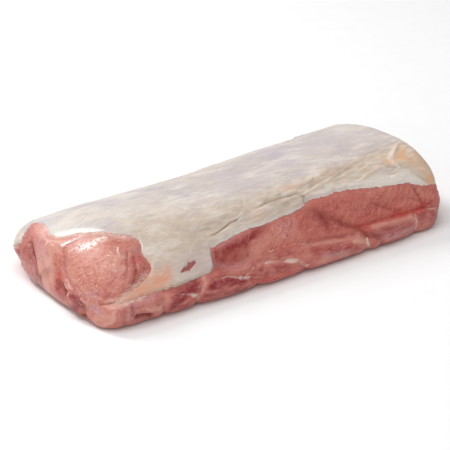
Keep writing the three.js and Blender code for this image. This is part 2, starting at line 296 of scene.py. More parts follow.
def nibbled(x):
    """The same for the front edge, in places round the section."""
    wander = 0.9 * noise(x[:, None], 12, 5) + 0.7 * noise(x[:, None], 4, 6) + 0.5 * noise(x[:, None], 2, 45)
    return wander * (1 - 0.65 * bell((x - 155) / 50)) / GIRTH[0]


def back_edge(x):
    """Place round the section where the fat ends above the back foot; the knife wandered there."""
    return FAT_BACK - 0.10 + 0.16 * noise(x[:, None], 34, 37) + 0.05 * noise(x[:, None], 9, 38)


left_v = np.arange(FAT_FRONT_START, FAT_BACK, 0.015)
front_x = np.arange(FAT_LEFT[0][1], LENGTH, 1.0)
fat_edge = np.concatenate([
    np.stack([run_of(follow(FAT_LEFT, left_v) + torn(left_v)), girth_of(left_v)], -1),
    np.stack([front_x, girth_of(follow(FAT_FRONT, front_x) + nibbled(front_x))], -1),
    np.stack([front_x, girth_of(back_edge(front_x))], -1)])


def inside_fat(x, v):
    """Distance inside the edge of the cap, negative outside it."""
    here = np.stack([run_of(x), girth_of(v)], -1)
    best = np.full(len(here), 1e9)
    batch = 20000
    for first in range(0, len(here), batch):
        gap = here[first:first + batch, None] - fat_edge[None]
        best[first:first + batch] = np.sqrt((gap ** 2).sum(-1).min(1))
    inside = (x > follow(FAT_LEFT, v) + torn(v)) & (v < back_edge(x))
    inside &= v > follow(FAT_FRONT, x) + nibbled(x)
    return np.where(inside, best, -best)


def fat_depth(d, run, girth):
    """Thickness of the fat a distance d inside its edge: thin over the eye, thick at the back corner."""
    left = 1 - smooth((run - 35) / 30)
    lip = 1.1 + 2.6 * left * smooth((girth - 158) / 16) - 0.3 * left * bell((girth - 88) / 40)
    lip += 1.3 * bell((run - 72) / 30) * bell((girth - 30) / 8) + 0.8 * smooth((girth - 150) / 20)
    return mix(lip, FAT_DEEP, smooth(d / FAT_RISE))


# ---- Fat cap ----
# A thin sheet of back fat left on the meat, trimmed by knife: white and flat on top, beige and
# folded down the front, with a rounded lip, a torn fringe over the eye muscle and one small hole.
CAP_CELLS = (280, 150, 6)
# the last column is how dark each groove is painted, as painted shade
FOLDS = [  # path as run and girth, width, depth, roll below it, hollow above it, darkening
    ([(122, 47), (128, 48.5), (133, 50.5), (139, 52.5), (147, 55)], 0.9, 1.3, 0.2, 1.1, 1.5),
    ([(181, 58), (203, 60.5), (211, 60), (231, 65.5), (246, 71), (262, 78), (276, 82), (305, 87), (320, 88)],
     2.2, 1.2, 1.2, 0.8, 0.6),
    ([(290, 47), (303, 47), (316, 42), (324, 36)], 1.5, 0.5, 0.6, 0.3, 0.3),
    ([(301, 54), (299, 60), (300, 68), (306, 74), (312, 80), (320, 84)], 1.7, -1.4, 0.0, 0.5, 0.0),
    ([(307, 61), (313, 52), (318, 44), (321, 38)], 3.4, -1.3, 0.0, 0.0, 0.0),
    ([(302, 54), (306, 49.5), (309, 44), (312, 40.5), (317, 37)], 1.2, 0.8, 0.2, 0.3, 0.6),
    ([(288, 66), (293, 58), (299, 54)], 1.3, 0.6, 0.3, 0.0, 0.5),
    ([(246, 69.5), (262, 76), (279, 80.5)], 1.4, 0.8, 0.0, 0.0, 0.5),
    ([(213, 70), (226, 72), (242, 77)], 2.8, -0.9, 0.0, 0.3, 0.0),
    ([(242, 61), (262, 66), (284, 76)], 1.6, -0.5, 0.0, 0.0, 0.0),
    ([(262, 54), (272, 60), (290, 64)], 1.3, 0.4, 0.4, 0.0, 0.2),
    ([(150, 60), (158, 66), (161, 74)], 1.2, 0.3, 0.3, 0.0, 0.2),
    ([(60, 50), (80, 56), (104, 58)], 2.0, 0.3, 0.3, 0.0, 0.1),
    ([(70, 186), (110, 192), (160, 188), (190, 192)], 1.8, 0.9, 0.8, 0.4, 0.6),
    ([(180, 172), (215, 180), (262, 178)], 1.6, 0.8, 0.7, 0.4, 0.6),
    ([(280, 168), (300, 180), (312, 196)], 1.8, -0.8, 0.0, 0.4, 0.0),
]
TONGUE = [(165, 58), (173, 60), (181, 61), (193, 61.3), (200, 60.5), (204, 58.5), (207.5, 54), (208, 49.5),
          (205, 45.5), (201, 43.5), (199, 30)]
HOLE, HOLE_WIDTH = [(79, 35.4), (83, 36), (89, 36.6), (95, 37.6)], 0.9
LIP_ROUND = 1.2


def box_grid(nx, ny, nz):
    """Corners (a, b, c) in -1..1 and outward four-sided faces of a box of nx by ny by nz cells."""
    cells = (nx, ny, nz)
    faces = []
    for axis in range(3):
        u, w = [other for other in range(3) if other != axis]
        gu, gw = np.meshgrid(np.arange(cells[u]), np.arange(cells[w]), indexing="ij")
        for side in (0, 1):
            face = np.zeros(gu.shape + (4, 3), int)
            face[..., axis] = cells[axis] * side
            for corner, (du, dw) in enumerate(((0, 0), (1, 0), (1, 1), (0, 1))):
                face[..., corner, u] = gu + du
                face[..., corner, w] = gw + dw
            face = face.reshape(-1, 4, 3)
            outward = (side == 1) != (axis == 1)
            faces.append(face if outward else face[:, ::-1])
    faces = np.concatenate(faces)
    key = (faces[..., 0] * (ny + 1) + faces[..., 1]) * (nz + 1) + faces[..., 2]
    ids, index = np.unique(key, return_inverse=True)
    corners = np.stack([ids // ((ny + 1) * (nz + 1)), ids // (nz + 1) % (ny + 1), ids % (nz + 1)], -1)
    return corners / cells * 2 - 1, index.reshape(-1, 4)


def path_distance(points, path):
    """Distance from each point to a path of straight stretches, how far left of it and past its ends."""
    path = np.array(path, float)
    best, across, past = np.full(len(points), 1e9), np.zeros(len(points)), np.zeros(len(points))
    for i, (start, end) in enumerate(zip(path[:-1], path[1:])):
        length = np.linalg.norm(end - start)
        step = (end - start) / length
        along = (points - start) @ step
        gap = points - start - np.clip(along, 0, length)[:, None] * step
        away = np.linalg.norm(gap, axis=1)
        closer = away < best
        over = np.maximum(-along, 0) * (i == 0) + np.maximum(along - length, 0) * (i == len(path) - 2)
        best[closer], past[closer] = away[closer], over[closer]
        if points.shape[1] == 2:
            side = np.sign(step[0] * gap[:, 1] - step[1] * gap[:, 0])
            across[closer] = (side * np.sqrt(np.maximum(away ** 2 - over ** 2, 0)))[closer]
    return best, across, past


def stirred(points, size, seeds):
    """Noise along each axis, to stir the points about."""
    return np.stack([noise(points, size, seed) for seed in seeds], -1)


def on_form(x, v):
    return form(x, v, share(x))


# the sheet as a box of cells laid round the form; level runs from its underside, -1, to its skin, 1
corners, cap_faces = box_grid(*CAP_CELLS)
level = corners[:, 2]
t = (corners + 1) / 2
u = mix(t[:, 0], smooth(t[:, 0]), 0.3)
w = mix(t[:, 1], smooth(t[:, 1]), 0.45)
near_x = mix(FAT_LEFT[0][1], FAT_LEFT[-1][1], w)
cap_v = mix(FAT_FRONT_START, FAT_BACK, w)
cap_x = mix(near_x, FAT_RIGHT, u) + (1 - u) * (follow(FAT_LEFT, cap_v) - near_x)
cap_v = cap_v + (1 - w) ** 3 * (follow(FAT_FRONT, cap_x) - FAT_FRONT_START)
cap_v = cap_v + w ** 3 * (back_edge(cap_x) - FAT_BACK)
cap_x, cap_v = cap_x + bell(t[:, 0] / 0.02) * torn(cap_v), cap_v + bell(t[:, 1] / 0.03) * nibbled(cap_x)
rounded_side = 0.8 * np.sqrt(np.clip(1 - level ** 2, 0, 1))
cap_x = cap_x + rounded_side * ((t[:, 0] > 1 - 1e-6) * 0.5 - (t[:, 0] < 1e-6))
cap_v = cap_v + rounded_side * ((t[:, 1] > 1 - 1e-6) / GIRTH[2] - (t[:, 1] < 1e-6) / GIRTH[0])

# each place on the skin rolled out flat: its run along the loin and its girth round it
flat = np.stack([run_of(cap_x), girth_of(cap_v)], -1)
run, girth = flat.T
inside = np.maximum(inside_fat(cap_x, cap_v), 0)
thick = fat_depth(inside, run, girth)
to_rim = np.minimum(inside, np.maximum(FAT_RIGHT - cap_x, 0))
over_eye = smooth((girth - 42) / 8) * (1 - smooth((girth - 92) / 14))

# how the skin rises and falls: slow swells, knife marks, wrinkles down the front, lumps on the shoulder
skin = 0.5 * noise(flat, (60, 26), 7) + 0.25 * noise(flat, (22, 11), 8) + 0.12 * noise(flat, (14, 3.2), 9)
skin += 0.08 * noise(flat, (9, 1.8), 10) + 0.08 * noise(flat, 3.0, 11)
warped = flat + stirred(flat, 8, (12, 13)) * 0.8
front_slope = 1 - smooth((girth - 78) / 16)
wrinkle = (1 - np.abs(noise(warped + 3 * noise(flat, 20, 18)[:, None], (17, 5), 19))) ** 5
skin += 0.45 * wrinkle * front_slope * np.clip(0.6 + noise(flat, 24, 20), 0, 1)
lumps = np.clip(noise(warped, (9, 5), 39), 0, 1)
lumps *= bell((girth - follow([(150, 66), (230, 70), (300, 76)], run)) / 9)
skin += 1.1 * lumps * smooth((run - 140) / 40)

# folds: a groove with a roll of fat above it and a hollow below, and painted shade in the groove where it is
# deep
crease_shade = np.zeros(len(flat))
vary = np.clip(0.85 + 0.8 * noise(flat, 10, 17), 0.2, 1.5)
for path, width, depth, roll, dip, painted_shade in FOLDS:
    away, across, past = path_distance(warped, path)
    fading = bell(past / 3)
    crease_shade = np.maximum(crease_shade, painted_shade * bell(away / width) * np.minimum(vary, 1))
    skin += vary * fading * (roll * bell((across + 3.0) / 3.2) - depth * bell(across / width)
                             - dip * bell((across - 4.5) / 5))

# a tongue of fat that lies over the rest, its round tip at the edge above the red wall
away, across = path_distance(warped, TONGUE)[:2]
beyond = away * np.sign(across)
tongue = smooth((run - 158) / 24)
skin += tongue * (1.8 * smooth(0.5 - beyond / 1.6) * bell(np.maximum(away - 2, 0) / 9)
                  - 0.7 * bell((beyond - 2) / 2) * (girth > 57))
# painted shadow just outside the tongue's edge, above it
crease_shade = np.maximum(crease_shade, 1.4 * tongue * bell((beyond - 1.4) / 1.7) * smooth((girth - 51) / 3))
# painted highlight: a bright rim along the tongue's edge
tongue_rim = tongue * bell((beyond + 0.9) / 1.3) * smooth((run - 188) / 8)

# the edge above the red wall stands proud; by the crease a knob of fat sticks up
proud = smooth((run - 112) / 10) * (1 - smooth((run - 300) / 20)) * (girth < 90)
skin += mix(0.2, 0.7, smooth((run - 150) / 50)) * proud * bell(inside / 10) - 0.8 * smooth((girth - 70) / 30)
knob = bell((warped[:, 0] - 119.5) / 2.4) * bell((warped[:, 1] - 49.5) / 2.4)
skin += 1.2 * knob

# the worn hole, wide in its middle, in a place where the fat is thin
hole_gap = path_distance(flat + stirred(flat, 3, (46, 47)) * 0.8, HOLE)[0]
hole_width = HOLE_WIDTH * (1 + 1.5 * bell((run - 87) / 4.2))
hole = 1 - smooth(hole_gap / hole_width + 0.3 * noise(flat, 3.0, 14) - 0.4)
worn = bell((run - 90) / 19) * bell((girth - 36.5) / 5.0)
skin -= hole * 1.2 + worn * 0.4

# the lip is rounded over, and the relief dies out towards it
rounding = LIP_ROUND * (1 - np.sqrt(np.clip(1 - np.clip(1 - to_rim / LIP_ROUND, 0, 1) ** 2, 0, 1)))
skin = skin * mix(0.35, 1, smooth(to_rim / 3)) - np.minimum(rounding, thick * 0.45)
skin = np.maximum(skin, 0.65 - thick)

# the sheet set on the form, outward from it at each place
step_x, step_v = 0.05, 0.002
base = on_form(cap_x, cap_v)
along = on_form(cap_x + step_x, cap_v) - on_form(cap_x - step_x, cap_v)
around = on_form(cap_x, cap_v + step_v) - on_form(cap_x, cap_v - step_v)
out = np.cross(along, around)
out /= np.linalg.norm(out, axis=1)[:, None]
height = mix(-thick, skin, (level + 1) / 2)
cap_points = base + out * (height + corner_swell(base))[:, None]
cap_points[:, 2] = np.maximum(cap_points[:, 2], 0.8)


def blob(middle, radii):
    """A soft patch on the skin, its middle and radii along the run and the girth."""
    return bell((run - middle[0]) / radii[0]) * bell((girth - middle[1]) / radii[1])


def line(path, width):
    """A soft line along a path on the skin."""
    return bell(path_distance(warped, path)[0] / width)


# fine grey strokes along the top, where the knife and the membrane pulled
STROKES = 46
draw = np.random.default_rng(7)
strokes = np.zeros(len(flat))
for stroke in range(STROKES):
    start = np.array([draw.uniform(20, 300), draw.uniform(84, 190)])
    slant_by = draw.uniform(-0.16, 0.10)
    length = draw.uniform(10, 34)
    away = path_distance(warped, [start, start + (length, length * slant_by)])[0]
    strokes = np.maximum(strokes, draw.uniform(0.3, 1) * bell(away / draw.uniform(0.7, 1.2)))
cap_points -= out * (0.18 * strokes * (level > 0.5))[:, None]

# where each tone of the fat lies, from 0 to 1; the flat top begins above a ridge along the shoulder
ridge_girth = follow([(49, 82), (121, 72), (171, 76), (228, 78), (291, 87), (323, 88)], run)
patchy = np.clip(0.5 + 1.1 * noise(flat, (16, 8), 15), 0, 1)
over_ridge = (girth - ridge_girth + 10) / mix(34, 16, smooth((run - 120) / 80))
tan_places = [  # path, width, strength
    ([(307, 66), (313, 57), (317, 48), (321, 40)], 5.6, 0.9),
    ([(315, 80), (315, 74), (309, 66)], 4.4, 0.8),
    ([(293, 73), (294, 66), (298, 60)], 4.0, 0.7),
    ([(324, 66), (322, 54), (322, 42), (321, 36)], 4.6, 0.75),
    ([(222, 68), (240, 75), (262, 83)], 2.4, 0.35),
]
cap_masks = {
    "plateau": smooth(over_ridge + 0.3 * noise(flat, (18, 7), 16)) * (1 - 0.7 * smooth((girth - 158) / 26)),
    "near": 1 - smooth((run - 40) / 150),
    "strokes": strokes,
    # pale is partly the fat's own paler places and partly painted highlight along the tongue's rim, the
    # lip's edge above the red wall and the knob
    "pale": bell(inside / 6) * smooth((run - 205) / 20) * (girth < 100) + 0.35 * wrinkle * front_slope
    + 0.5 * bell(inside / 0.9) * proud + 1.3 * tongue_rim + 0.7 * knob
    + 0.9 * line([(301, 54), (299, 61), (303, 71), (313, 81)], 1.5),
    "wet": 1.2 * blob((40, 88), (30, 32)) * bell(inside / 12),
    # glare: a painted highlight, the wet glare along the fat's edge over the eye
    "glare": line([(2, 125), (5, 118), (9, 109), (13, 101), (19, 93)], 3.6),
    # painted shade: the folds' grooves, beside the tongue, under the long fold and a few soft patches down
    # the slope
    "crease_shade": crease_shade + 0.38 * blob((127, 58), (13, 7)) + 0.34 * blob((104, 50), (16, 11))
    + 0.6 * line([(244, 67), (262, 73.5), (282, 79)], 2.4)
    + 0.55 * blob((190, 52), (18, 7)) + 0.15 * blob((150, 60), (30, 8)),
    "hole": hole,
    "thin": 0.9 * worn + 0.5 * over_eye * bell(inside / 3),
    "peach": 1.6 * (0.45 + 0.55 * patchy) * line([(24, 32), (38, 34), (50, 35), (66, 37)], 4.0)
    + 0.35 * bell(inside / 2.0) * bell((run - 45) / 22) * (girth < 60)
    + 0.5 * bell(inside / 5) * (1 - smooth((run - 30) / 25)) * (girth < 46)
    + 0.6 * patchy * blob((207, 72), (12, 3)) + 0.35 * patchy * blob((166, 53), (6, 8))
    + 0.6 * knob + 0.8 * blob((162, 51), (1.6, 1.2)) + 0.25 * tongue_rim,
    "tan": (0.55 + 0.6 * patchy) * sum(strength * line(path, width) for path, width, strength in tan_places),
    "yellow": patchy * (0.5 * blob((250, 66), (40, 10)) + 0.4 * blob((300, 66), (22, 14))
                        + 0.3 * blob((75, 92), (30, 9)) + 0.4 * blob((160, 160), (50, 20)))
    + 0.7 * lumps + 0.5 * line([(156, 67), (154, 61)], 0.7) + 0.5 * line([(162, 61), (163, 54)], 0.6),
    "lilac": patchy * (0.8 * blob((285, 118), (34, 14)) + 0.5 * blob((205, 104), (60, 14)))
    + 0.3 * blob((93, 37), (17, 6)),
}
cap_masks = {name: np.clip(values, 0, 1) for name, values in cap_masks.items()}
MM = 1000.0

# Raw back fat, cut by knife and pulled by the membrane: waxy satin that lets a little light in, so the
# eye sees soft pale and lilac patches with thin streaks along the loin, and wet shine over the eye muscle,
# partly a painted highlight there; the folds carry painted shade.
back_fat, tree = new_material("raw_back_fat")
where = add(tree, "ShaderNodeTexCoord").outputs["Object"]
mask = {name: add(tree, "ShaderNodeAttribute", attribute_name=name).outputs["Fac"] for name in cap_masks}


def spread(tree, pattern, low, high, least=0.0, most=1.0, over=None):
    """A pattern stretched so that low gives the least and high the most, and kept to the mask over."""
    ends = {"Value": pattern, "From Min": low, "From Max": high, "To Min": least, "To Max": most}
    stretched = add(tree, "ShaderNodeMapRange", ends).outputs["Result"]
    if over is None:
        return stretched
    return add(tree, "ShaderNodeMath", {0: stretched, 1: over}, operation="MULTIPLY").outputs["Value"]


def painted(tree, ground, coats):
    """The ground colour with other colours over it in turn, each as strong as its pattern."""
    for strength, colour in coats:
        colour = linear(colour) if isinstance(colour, str) else colour
        mixed = add(tree, "ShaderNodeMixRGB", {"Fac": strength, "Color1": ground, "Color2": colour})
        ground = mixed.outputs["Color"]
    return ground


def pressed(tree, prints):
    """The surface with fine relief in turn: each a pattern, its strength and its depth in mm."""
    surface = {}
    for pattern, strength, depth in prints:
        sizes = {"Height": pattern, "Strength": strength, "Distance": depth / MM}
        surface["Normal"] = add(tree, "ShaderNodeBump", {**sizes, **surface}).outputs["Normal"]
    return surface["Normal"]


def ragged(tree, patch, where, size, low=0.35, high=0.6, reach=0.5):
    """A soft patch given an uneven outline, its teeth size mm across."""
    teeth = add(tree, "ShaderNodeTexNoise", {"Vector": where, "Scale": MM / size, "Detail": 4.0,
                                             "Roughness": 0.7}).outputs["Fac"]
    centred = add(tree, "ShaderNodeMath", {0: teeth, 1: -0.5}, operation="ADD").outputs["Value"]
    bitten = add(tree, "ShaderNodeMath", {0: centred, 1: 2 * reach, 2: patch}, operation="MULTIPLY_ADD")
    return spread(tree, bitten.outputs["Value"], low, high)


def speckle(tree, where, lengths, detail=3.0, rough=0.55):
    """Noise whose lumps have these lengths in mm along x, y and z."""
    scaled = add(tree, "ShaderNodeMapping", {"Vector": where, "Scale": [MM / size for size in lengths]})
    return add(tree, "ShaderNodeTexNoise", {"Vector": scaled.outputs["Vector"], "Scale": 1.0,
                                            "Detail": detail, "Roughness": rough}).outputs["Fac"]


# patches a few centimetres across, streaks that lie a little askew, and pores drawn coarse enough to show
STREAK_TURN = 9.0
turned = {"Vector": where, "Rotation": (0, 0, np.radians(STREAK_TURN))}
slanting = add(tree, "ShaderNodeMapping", turned).outputs["Vector"]
mottle = speckle(tree, where, (34, 20, 20))
clouds = speckle(tree, slanting, (40, 24, 24), 3.0, 0.5)
wisps = speckle(tree, slanting, (24, 12, 12), 5.0, 0.6)
streaks = speckle(tree, slanting, (12, 2.8, 2.8), 4.0, 0.65)
fine = speckle(tree, slanting, (6, 2.8, 2.8), 6.0, 0.65)
pores = speckle(tree, where, (1.8, 1.6, 1.6), 2.0)
# shine is that painted highlight along the fat's edge over the eye, given a ragged outline
shine = ragged(tree, mask["glare"], where, 2.4, 0.25, 1.1, 0.45)
flat_top = painted(tree, linear("c8bcb8"), [
    (mask["near"], "d8cec7"),
    (spread(tree, clouds, 0.48, 0.68, 0, 0.8), "d9cfc3"),
    (spread(tree, clouds, 0.46, 0.30, 0, 0.8), "bfb6c4"),
])
fat_colour = painted(tree, linear("cab8a5"), [
    (mask["plateau"], flat_top),
    (spread(tree, mottle, 0.45, 0.75, 0, 0.45), "dccfbe"),
    (spread(tree, wisps, 0.50, 0.68, 0, 0.5), "b8abaf"),
    (spread(tree, wisps, 0.48, 0.33, 0, 0.6), "e8e0da"),
    (mask["yellow"], "dcc0a0"),
    (mask["pale"], "e4dad0"),
    (mask["lilac"], "c9bcc3"),
    (spread(tree, streaks, 0.52, 0.68, 0, 0.3), "b3a7a3"),
    (spread(tree, streaks, 0.47, 0.34, 0, 0.25), "eae2da"),
    (spread(tree, mask["strokes"], 0, 1, 0, 0.45), "a89f9f"),
    (spread(tree, wisps, 0.40, 0.56, 1, 0.55, over=mask["tan"]), "dcae8a"),
    (spread(tree, streaks, 0.40, 0.60, 1, 0.7, over=mask["peach"]), "e19f83"),
    (mask["thin"], "c9b4ae"),
    # painted shade in the folds and on the slope
    (spread(tree, mask["crease_shade"], 0, 1, 0, 0.7), "9a8271"),
    (ragged(tree, mask["hole"], where, 4.0, 0.3, 0.9, 0.4), "a65a56"),
    (spread(tree, pores, 0.50, 0.66, 0, 0.16), "b5a49b"),
    (spread(tree, shine, 0, 1, 0, 0.9), "fffaf5"),
])
surface = pressed(tree, [(fine, 0.8, 1.2), (pores, 0.3, 0.4)])
fat_shader = add(tree, "ShaderNodeBsdfPrincipled", {
    "Base Color": fat_colour, "Roughness": spread(tree, mottle, 0.3, 0.7, 0.34, 0.48), "IOR": 1.45,
    "Normal": surface, "Specular IOR Level": 0.35,
    "Subsurface Weight": 0.25, "Subsurface Radius": (1.0, 0.75, 0.55), "Subsurface Scale": 0.003,
    "Coat Weight": spread(tree, mask["wet"], 0, 1, 0.12, 1.0), "Coat Roughness": 0.16,
    "Coat Normal": surface})
add(tree, "ShaderNodeOutputMaterial", {"Surface": fat_shader.outputs["BSDF"]})


# where the frame's origin stands in the loin's own millimetres
ORIGIN = np.array([LENGTH / 2 + 2.5985, 1.1308, 0.0])


def build(name, points, faces, masks, material):
    """A smooth-shaded mesh object from points in mm, with one number per point for each mask."""
    mesh = bpy.data.meshes.new(name)
    mesh.vertices.add(len(points))
    mesh.vertices.foreach_set("co", ((points - ORIGIN) / MM).astype(np.float32).ravel())
    mesh.loops.add(faces.size)
    mesh.loops.foreach_set("vertex_index", faces.astype(np.int32).ravel())
    mesh.polygons.add(len(faces))
    mesh.polygons.foreach_set("loop_start", np.arange(0, faces.size, 4, dtype=np.int32))
    mesh.polygons.foreach_set("loop_total", np.full(len(faces), 4, np.int32))
    mesh.update(calc_edges=True)
    mesh.shade_smooth()
    for mask, values in masks.items():
        layer = mesh.attributes.new(mask, "FLOAT", "POINT")
        layer.data.foreach_set("value", np.asarray(values, np.float32))
    mesh.materials.append(material)
    piece = bpy.data.objects.new(name, mesh)
    bpy.context.scene.collection.objects.link(piece)
    return piece


fat_cap = build("fat_cap_trimmed", cap_points, cap_faces, cap_masks, back_fat)
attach(fat_cap, "root")
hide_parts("fat_cap")


# ---- Meat ----
# The boned loin itself: the round eye muscle and its neighbours at the left cut, the long red front
# wall with the chain of small muscles along its foot, white seams of connective tissue between them.
MEAT_CELLS = (250, 118, 50)
MUSCLES = [  # middle from the left end, radii, height of the swelling
    ((27, -38, 40), (28, 27, 28), 3.0),
    ((46, -60, 33), (13, 10, 16), 2.0),
    ((10, 9, 26), (14, 14, 24), 3.5),
    ((3, -10, 7), (16, 19, 11), 4.6),
    ((6, -41, 9), (14, 10, 10), 2.0),
    ((20, -68, 9), (18, 14, 11), 1.8),
    ((7, 32, 20), (14, 14, 18), 1.0),
    ((8, -52, 2), (12, 7, 9), -2.2),
    ((334, -12, 30), (16, 36, 22), 1.6),
    ((334, -62, 36), (12, 12, 16), 0.6),
]
CUT_MARKS = [  # on the left cut: path from the left end, width, depth of the groove, tones
    ([(9, 33, 31), (7, 25, 26), (6, 18, 21), (4, 12, 16), (4, 9, 8), (4, 9, 0)], 1.3, 2.4, {"blood": 0.8}),
    ([(14, 45, 37), (12, 44, 33), (7, 43, 26)], 3.2, 0.6, {"deep": 0.7}),
    ([(6, 41, 22), (5, 39, 20)], 1.6, 0.8, {"blood": 0.5}),
    ([(8, 37, 27), (6, 34, 23)], 1.3, 0.6, {"blood": 0.4}),
    ([(5, 38, 18), (4, 31, 17)], 1.1, -0.3, {"white": 0.7}),
    ([(7, 31, 26), (5, 24, 19), (4, 17, 11)], 4.2, 0.0, {"deep": 0.7}),
    ([(8, -8, 23), (6, -14, 19), (5, -22, 17)], 4.0, 1.8, {"deep": 0.5, "vivid": 0.5}),
    ([(5, -11, 18), (5, -18, 17), (5, -23, 16), (5, -27, 15)], 1.6, 3.0, {"blood": 0.9}),
    ([(6, -24, 19), (6, -28, 17), (5, -31, 15)], 3.0, -1.4, {"white": 1.1}),
    # glare marks are painted highlights: the wet glints on the eye muscle and the strip, laid on as
    # near-white tone
    ([(19, 0, 39), (23, -3, 42), (28, -6, 45), (32, -7, 48)], 1.5, -0.3, {"glare": 1.4}),
    ([(17, -9, 36), (19, -10, 38), (22, -12, 41), (25, -15, 43)], 1.0, -0.2, {"glare": 1.3}),
    ([(24, -15, 42), (28, -21, 44), (34, -24, 48)], 4.6, 0.0, {"glare": 1.3}),
    ([(36, -22, 48), (40, -25, 49)], 2.6, 0.0, {"glare": 1.0}),
    ([(43, -39, 46), (41, -42, 44), (40, -46, 43)], 0.8, -0.2, {"glare": 0.9}),
    ([(9, 5, 27), (7, -1, 23), (6, -4, 19)], 4.2, 0.0, {"peach": 1.2}),
    ([(14, 15, 35), (12, 14, 32), (8, 8, 24), (6, 4, 15)], 1.0, -0.3, {"white": 1.1}),
    ([(12, 22, 32), (9, 18, 28), (7, 14, 20)], 0.8, -0.2, {"white": 0.9}),
    ([(13, 29, 33), (9, 24, 27), (7, 19, 20)], 0.8, -0.2, {"white": 0.8}),
    ([(8, 29, 27), (6, 20, 19), (5, 13, 12)], 1.0, -0.2, {"lilac": 1.0}),
    ([(9, -64, 7), (13, -69, 11), (16, -74, 12)], 3.4, 0.0, {"peach": 0.7}),
    ([(14, -6, 35), (19, -4, 40), (27, -8, 45)], 1.0, 0.4, {"deep": 0.3}),
    ([(5, -27, 16), (4, -31, 9), (4, -32, 0)], 1.5, 2.2, {"blood": 0.8}),
    ([(6, -37, 16), (6, -46, 13), (5, -40, 8)], 4.2, -0.8, {"deep": 1.1}),
    ([(4, -33, 4), (4, -42, 4), (5, -48, 4)], 2.6, 0.6, {"blood": 0.9}),
    ([(5, -15, 13), (5, -24, 11)], 4.0, 0.0, {"deep": 0.8}),
    ([(10, -4, 27), (9, -10, 24), (7, -18, 21)], 2.6, 0.8, {"vivid": 0.6}),
    ([(7, 10, 20), (5, 3, 13), (4, 0, 8)], 4.6, 0.0, {"peach": 0.8}),
    ([(9, 24, 24), (6, 16, 15), (4, 11, 8)], 3.0, 0.0, {"lilac": 0.8}),
    ([(14, -5, 34), (11, -8, 29)], 2.0, -0.5, {"vivid": 0.5}),
    ([(12, -55, 20), (15, -62, 22), (19, -66, 24), (26, -69, 26)], 0.8, -0.3, {"white": 0.9}),
    ([(8, -50, 16), (9, -56, 18), (12, -61, 18)], 0.8, -0.3, {"white": 0.9}),
    ([(5, -50, 0), (6, -49, 8), (7, -49, 12)], 2.0, 1.9, {"blood": 0.5}),
    ([(8, -46, 17), (8, -53, 15)], 1.7, -0.3, {"white": 0.7}),
    ([(10, -47, 21), (15, -60, 23)], 3.6, 0.2, {"lilac": 0.6}),
    ([(9, -57, 15), (11, -65, 13)], 3.0, 1.0, {"lilac": 1.0}),
    ([(16, -70, 17), (23, -74, 19), (29, -75, 20)], 2.0, -0.4, {"peach": 1.0}),
    ([(9, -61, 5), (12, -69, 5), (16, -74, 9), (18, -74, 15)], 2.0, -0.8, {"peach": 1.0}),
    ([(13, -62, 18), (15, -66, 19), (20, -70, 21), (27, -73, 23)], 0.9, 1.0, {"blood": 0.7}),
    ([(31, -77, 19), (30, -79, 11)], 1.5, 0.7, {"deep": 0.7}),
    ([(36, -76, 22), (48, -78, 25)], 2.6, 0.0, {"pale": 0.8}),
    ([(14, -66, 20), (22, -70, 23), (30, -72, 26)], 2.0, 0.0, {"peach": 0.8}),
    ([(15, -9, 34), (11, -16, 28), (8, -25, 23), (7, -37, 19)], 1.4, 1.3, {"deep": 0.5}),
    ([(17, 11, 38), (11, 2, 30), (7, -4, 22)], 0.8, -0.3, {"white": 0.9}),
    ([(18, -3, 38), (12, -12, 30), (9, -20, 25)], 0.8, 0.2, {"deep": 0.5}),
    ([(7, -2, 21), (10, -14, 26)], 0.8, -0.2, {"white": 0.6}),
    ([(15, 26, 34), (10, 15, 29), (8, 5, 23)], 5.0, 0.0, {"lilac": 0.7}),
    ([(18, 38, 40), (17, 24, 40), (17, 10, 38)], 5.0, 0.0, {"peach": 0.5}),
    ([(6, 46, 22), (5, 32, 17), (4, 21, 10)], 8.0, 0.0, {"deep": 0.4}),
    ([(6, 51, 20), (5, 44, 15)], 2.5, 0.4, {"lilac": 0.8}),
    ([(4, 7, 11), (5, 4, 6), (4, -10, 5)], 3.0, 0.0, {"lilac": 0.5}),
    ([(50, -49, 41), (45, -60, 35), (37, -68, 29)], 1.1, 0.9, {"blood": 0.7}),
    ([(47, -45, 43), (41, -55, 38), (35, -62, 33)], 0.9, 0.6, {"blood": 0.5}),
    ([(57, -53, 38), (53, -58, 35), (46, -66, 30)], 0.8, 0.5, {"blood": 0.5}),
    ([(52, -58, 36), (48, -63, 33), (43, -68, 29)], 1.2, -0.2, {"white": 0.6}),
    ([(52, -43, 45), (58, -46, 43)], 2.6, 0.0, {"lilac": 0.6}),
]
